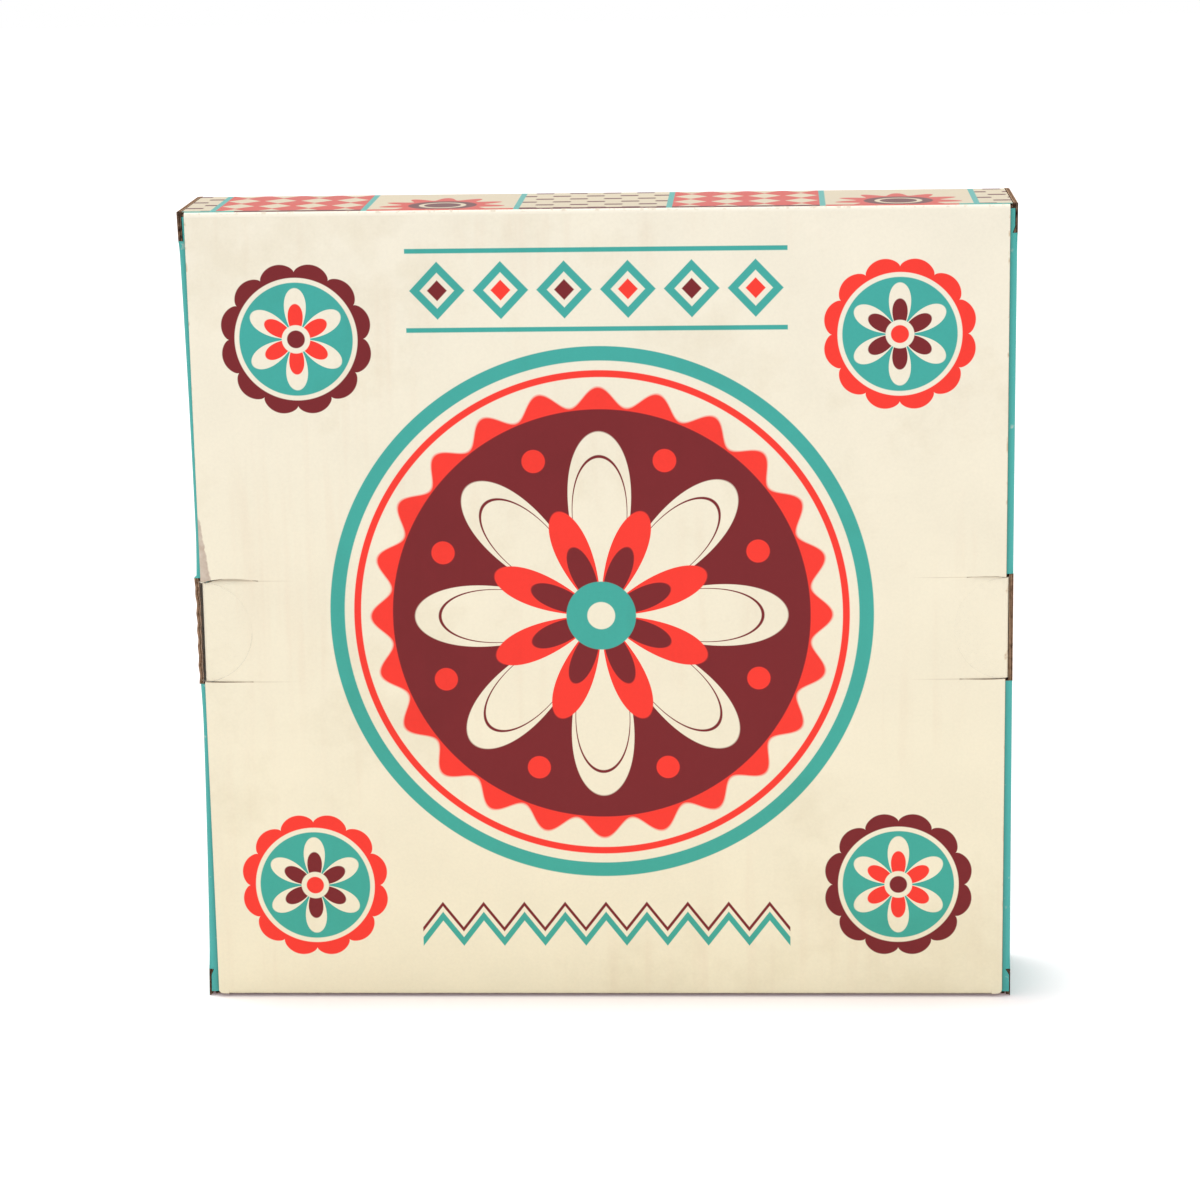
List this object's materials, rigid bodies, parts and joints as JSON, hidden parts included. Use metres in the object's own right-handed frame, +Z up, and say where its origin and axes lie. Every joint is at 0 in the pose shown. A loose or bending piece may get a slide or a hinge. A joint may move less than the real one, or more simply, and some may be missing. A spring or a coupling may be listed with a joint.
{
  "type": "shut the box game in its carton",
  "caption": "Flat printed mailer carton standing on edge, with a hinged lid; inside, a square wooden dice tray with a row of flip-up number tiles on each side.",
  "frame": {"origin": "centre of the carton's footprint, on the surface that it stands on", "axes": "+Z up, -Y is the side with the lid, +X to the right as seen from the lid's side"},
  "size_m": [0.3158, 0.0541, 0.3105],
  "materials": {
    "teal_board": "printed corrugated board, satin",
    "printed_board": "printed corrugated board, satin",
    "kraft_board": "plain kraft board, matt",
    "clear_film": "clear film",
    "floor_wood": "plywood, raw",
    "maroon_felt": "felt",
    "red_wood": "painted wood, satin",
    "cream_wood": "painted wood, satin",
    "rod_steel": "drawn steel",
    "tile_wood": "painted wood with printed numbers",
    "die_wood": "painted wood with dark pips"
  },
  "bodies": {
    "carton": {"base_panel": "teal_board", "top_wall": "printed_board", "bottom_wall": "teal_board", "left_wall": "teal_board", "right_wall": "teal_board", "dust_flaps": "kraft_board", "wall_seals": "clear_film", "floor_board": "floor_wood", "felt": "maroon_felt", "frame_rails": "red_wood", "long_walls": "cream_wood", "cross_walls": "cream_wood", "rods": "rod_steel"},
    "lid": {"lid": "printed_board", "lid_seals": "clear_film"},
    "tuck_flap": {"tuck_flap": "printed_board"},
    "die_1": {"die_1": "die_wood"},
    "die_2": {"die_2": "die_wood"},
    "top_tile_1": {"top_tile_1": "tile_wood"},
    "top_tile_2": {"top_tile_2": "tile_wood"},
    "top_tile_3": {"top_tile_3": "tile_wood"},
    "top_tile_4": {"top_tile_4": "tile_wood"},
    "top_tile_5": {"top_tile_5": "tile_wood"},
    "top_tile_6": {"top_tile_6": "tile_wood"},
    "top_tile_7": {"top_tile_7": "tile_wood"},
    "top_tile_8": {"top_tile_8": "tile_wood"},
    "top_tile_9": {"top_tile_9": "tile_wood"},
    "top_tile_10": {"top_tile_10": "tile_wood"},
    "right_tile_1": {"right_tile_1": "tile_wood"},
    "right_tile_2": {"right_tile_2": "tile_wood"},
    "right_tile_3": {"right_tile_3": "tile_wood"},
    "right_tile_4": {"right_tile_4": "tile_wood"},
    "right_tile_5": {"right_tile_5": "tile_wood"},
    "right_tile_6": {"right_tile_6": "tile_wood"},
    "right_tile_7": {"right_tile_7": "tile_wood"},
    "right_tile_8": {"right_tile_8": "tile_wood"},
    "right_tile_9": {"right_tile_9": "tile_wood"},
    "right_tile_10": {"right_tile_10": "tile_wood"},
    "bottom_tile_1": {"bottom_tile_1": "tile_wood"},
    "bottom_tile_2": {"bottom_tile_2": "tile_wood"},
    "bottom_tile_3": {"bottom_tile_3": "tile_wood"},
    "bottom_tile_4": {"bottom_tile_4": "tile_wood"},
    "bottom_tile_5": {"bottom_tile_5": "tile_wood"},
    "bottom_tile_6": {"bottom_tile_6": "tile_wood"},
    "bottom_tile_7": {"bottom_tile_7": "tile_wood"},
    "bottom_tile_8": {"bottom_tile_8": "tile_wood"},
    "bottom_tile_9": {"bottom_tile_9": "tile_wood"},
    "bottom_tile_10": {"bottom_tile_10": "tile_wood"},
    "left_tile_1": {"left_tile_1": "tile_wood"},
    "left_tile_2": {"left_tile_2": "tile_wood"},
    "left_tile_3": {"left_tile_3": "tile_wood"},
    "left_tile_4": {"left_tile_4": "tile_wood"},
    "left_tile_5": {"left_tile_5": "tile_wood"},
    "left_tile_6": {"left_tile_6": "tile_wood"},
    "left_tile_7": {"left_tile_7": "tile_wood"},
    "left_tile_8": {"left_tile_8": "tile_wood"},
    "left_tile_9": {"left_tile_9": "tile_wood"},
    "left_tile_10": {"left_tile_10": "tile_wood"}
  },
  "joints": [
    {"name": "lid_hinge", "type": "hinge", "parent": "carton", "child": "lid", "pos_m": [0, -0.027, 0.31048], "axis": [-1, 0, 0], "range_deg": [0, 170]},
    {"name": "tuck_flap_fold", "type": "hinge", "parent": "lid", "child": "tuck_flap", "pos_m": [0, -0.0255, 0.0033], "axis": [-1, 0, 0], "range_deg": [0, 34]},
    {"name": "top_tile_1_flip", "type": "hinge", "parent": "carton", "child": "top_tile_1", "pos_m": [0.0747, 0.01759, 0.25028], "axis": [1, 0, 0], "range_deg": [0, 101]},
    {"name": "top_tile_2_flip", "type": "hinge", "parent": "carton", "child": "top_tile_2", "pos_m": [0.0581, 0.01759, 0.25028], "axis": [1, 0, 0], "range_deg": [0, 101]},
    {"name": "top_tile_3_flip", "type": "hinge", "parent": "carton", "child": "top_tile_3", "pos_m": [0.0415, 0.01759, 0.25028], "axis": [1, 0, 0], "range_deg": [0, 101]},
    {"name": "top_tile_4_flip", "type": "hinge", "parent": "carton", "child": "top_tile_4", "pos_m": [0.0249, 0.01759, 0.25028], "axis": [1, 0, 0], "range_deg": [0, 101]},
    {"name": "top_tile_5_flip", "type": "hinge", "parent": "carton", "child": "top_tile_5", "pos_m": [0.0083, 0.01759, 0.25028], "axis": [1, 0, 0], "range_deg": [0, 101]},
    {"name": "top_tile_6_flip", "type": "hinge", "parent": "carton", "child": "top_tile_6", "pos_m": [-0.0083, 0.01759, 0.25028], "axis": [1, 0, 0], "range_deg": [0, 101]},
    {"name": "top_tile_7_flip", "type": "hinge", "parent": "carton", "child": "top_tile_7", "pos_m": [-0.0249, 0.01759, 0.25028], "axis": [1, 0, 0], "range_deg": [0, 101]},
    {"name": "top_tile_8_flip", "type": "hinge", "parent": "carton", "child": "top_tile_8", "pos_m": [-0.0415, 0.01759, 0.25028], "axis": [1, 0, 0], "range_deg": [0, 101]},
    {"name": "top_tile_9_flip", "type": "hinge", "parent": "carton", "child": "top_tile_9", "pos_m": [-0.0581, 0.01759, 0.25028], "axis": [1, 0, 0], "range_deg": [0, 101]},
    {"name": "top_tile_10_flip", "type": "hinge", "parent": "carton", "child": "top_tile_10", "pos_m": [-0.0747, 0.01759, 0.25028], "axis": [1, 0, 0], "range_deg": [0, 101]},
    {"name": "right_tile_1_flip", "type": "hinge", "parent": "carton", "child": "right_tile_1", "pos_m": [0.09714, 0.01759, 0.07844], "axis": [0, 0, -1], "range_deg": [0, 101]},
    {"name": "right_tile_2_flip", "type": "hinge", "parent": "carton", "child": "right_tile_2", "pos_m": [0.09714, 0.01759, 0.09504], "axis": [0, 0, -1], "range_deg": [0, 101]},
    {"name": "right_tile_3_flip", "type": "hinge", "parent": "carton", "child": "right_tile_3", "pos_m": [0.09714, 0.01759, 0.11164], "axis": [0, 0, -1], "range_deg": [0, 101]},
    {"name": "right_tile_4_flip", "type": "hinge", "parent": "carton", "child": "right_tile_4", "pos_m": [0.09714, 0.01759, 0.12824], "axis": [0, 0, -1], "range_deg": [0, 101]},
    {"name": "right_tile_5_flip", "type": "hinge", "parent": "carton", "child": "right_tile_5", "pos_m": [0.09714, 0.01759, 0.14484], "axis": [0, 0, -1], "range_deg": [0, 101]},
    {"name": "right_tile_6_flip", "type": "hinge", "parent": "carton", "child": "right_tile_6", "pos_m": [0.09714, 0.01759, 0.16144], "axis": [0, 0, -1], "range_deg": [0, 101]},
    {"name": "right_tile_7_flip", "type": "hinge", "parent": "carton", "child": "right_tile_7", "pos_m": [0.09714, 0.01759, 0.17804], "axis": [0, 0, -1], "range_deg": [0, 101]},
    {"name": "right_tile_8_flip", "type": "hinge", "parent": "carton", "child": "right_tile_8", "pos_m": [0.09714, 0.01759, 0.19464], "axis": [0, 0, -1], "range_deg": [0, 101]},
    {"name": "right_tile_9_flip", "type": "hinge", "parent": "carton", "child": "right_tile_9", "pos_m": [0.09714, 0.01759, 0.21124], "axis": [0, 0, -1], "range_deg": [0, 101]},
    {"name": "right_tile_10_flip", "type": "hinge", "parent": "carton", "child": "right_tile_10", "pos_m": [0.09714, 0.01759, 0.22784], "axis": [0, 0, -1], "range_deg": [0, 101]},
    {"name": "bottom_tile_1_flip", "type": "hinge", "parent": "carton", "child": "bottom_tile_1", "pos_m": [-0.0747, 0.01759, 0.056], "axis": [-1, 0, 0], "range_deg": [0, 101]},
    {"name": "bottom_tile_2_flip", "type": "hinge", "parent": "carton", "child": "bottom_tile_2", "pos_m": [-0.0581, 0.01759, 0.056], "axis": [-1, 0, 0], "range_deg": [0, 101]},
    {"name": "bottom_tile_3_flip", "type": "hinge", "parent": "carton", "child": "bottom_tile_3", "pos_m": [-0.0415, 0.01759, 0.056], "axis": [-1, 0, 0], "range_deg": [0, 101]},
    {"name": "bottom_tile_4_flip", "type": "hinge", "parent": "carton", "child": "bottom_tile_4", "pos_m": [-0.0249, 0.01759, 0.056], "axis": [-1, 0, 0], "range_deg": [0, 101]},
    {"name": "bottom_tile_5_flip", "type": "hinge", "parent": "carton", "child": "bottom_tile_5", "pos_m": [-0.0083, 0.01759, 0.056], "axis": [-1, 0, 0], "range_deg": [0, 101]},
    {"name": "bottom_tile_6_flip", "type": "hinge", "parent": "carton", "child": "bottom_tile_6", "pos_m": [0.0083, 0.01759, 0.056], "axis": [-1, 0, 0], "range_deg": [0, 101]},
    {"name": "bottom_tile_7_flip", "type": "hinge", "parent": "carton", "child": "bottom_tile_7", "pos_m": [0.0249, 0.01759, 0.056], "axis": [-1, 0, 0], "range_deg": [0, 101]},
    {"name": "bottom_tile_8_flip", "type": "hinge", "parent": "carton", "child": "bottom_tile_8", "pos_m": [0.0415, 0.01759, 0.056], "axis": [-1, 0, 0], "range_deg": [0, 101]},
    {"name": "bottom_tile_9_flip", "type": "hinge", "parent": "carton", "child": "bottom_tile_9", "pos_m": [0.0581, 0.01759, 0.056], "axis": [-1, 0, 0], "range_deg": [0, 101]},
    {"name": "bottom_tile_10_flip", "type": "hinge", "parent": "carton", "child": "bottom_tile_10", "pos_m": [0.0747, 0.01759, 0.056], "axis": [-1, 0, 0], "range_deg": [0, 101]},
    {"name": "left_tile_1_flip", "type": "hinge", "parent": "carton", "child": "left_tile_1", "pos_m": [-0.09714, 0.01759, 0.22784], "axis": [0, 0, 1], "range_deg": [0, 101]},
    {"name": "left_tile_2_flip", "type": "hinge", "parent": "carton", "child": "left_tile_2", "pos_m": [-0.09714, 0.01759, 0.21124], "axis": [0, 0, 1], "range_deg": [0, 101]},
    {"name": "left_tile_3_flip", "type": "hinge", "parent": "carton", "child": "left_tile_3", "pos_m": [-0.09714, 0.01759, 0.19464], "axis": [0, 0, 1], "range_deg": [0, 101]},
    {"name": "left_tile_4_flip", "type": "hinge", "parent": "carton", "child": "left_tile_4", "pos_m": [-0.09714, 0.01759, 0.17804], "axis": [0, 0, 1], "range_deg": [0, 101]},
    {"name": "left_tile_5_flip", "type": "hinge", "parent": "carton", "child": "left_tile_5", "pos_m": [-0.09714, 0.01759, 0.16144], "axis": [0, 0, 1], "range_deg": [0, 101]},
    {"name": "left_tile_6_flip", "type": "hinge", "parent": "carton", "child": "left_tile_6", "pos_m": [-0.09714, 0.01759, 0.14484], "axis": [0, 0, 1], "range_deg": [0, 101]},
    {"name": "left_tile_7_flip", "type": "hinge", "parent": "carton", "child": "left_tile_7", "pos_m": [-0.09714, 0.01759, 0.12824], "axis": [0, 0, 1], "range_deg": [0, 101]},
    {"name": "left_tile_8_flip", "type": "hinge", "parent": "carton", "child": "left_tile_8", "pos_m": [-0.09714, 0.01759, 0.11164], "axis": [0, 0, 1], "range_deg": [0, 101]},
    {"name": "left_tile_9_flip", "type": "hinge", "parent": "carton", "child": "left_tile_9", "pos_m": [-0.09714, 0.01759, 0.09504], "axis": [0, 0, 1], "range_deg": [0, 101]},
    {"name": "left_tile_10_flip", "type": "hinge", "parent": "carton", "child": "left_tile_10", "pos_m": [-0.09714, 0.01759, 0.07844], "axis": [0, 0, 1], "range_deg": [0, 101]},
    {"name": "die_1_lift", "type": "slide", "parent": "carton", "child": "die_1", "axis": [0, -1, 0], "range_m": [0, 0.03]},
    {"name": "die_2_lift", "type": "slide", "parent": "carton", "child": "die_2", "axis": [0, -1, 0], "range_m": [0, 0.03]}
  ],
  "couplings": [
    {"joint": "tuck_flap_fold", "follows": "lid_hinge", "ratio": 0.2}
  ]
}
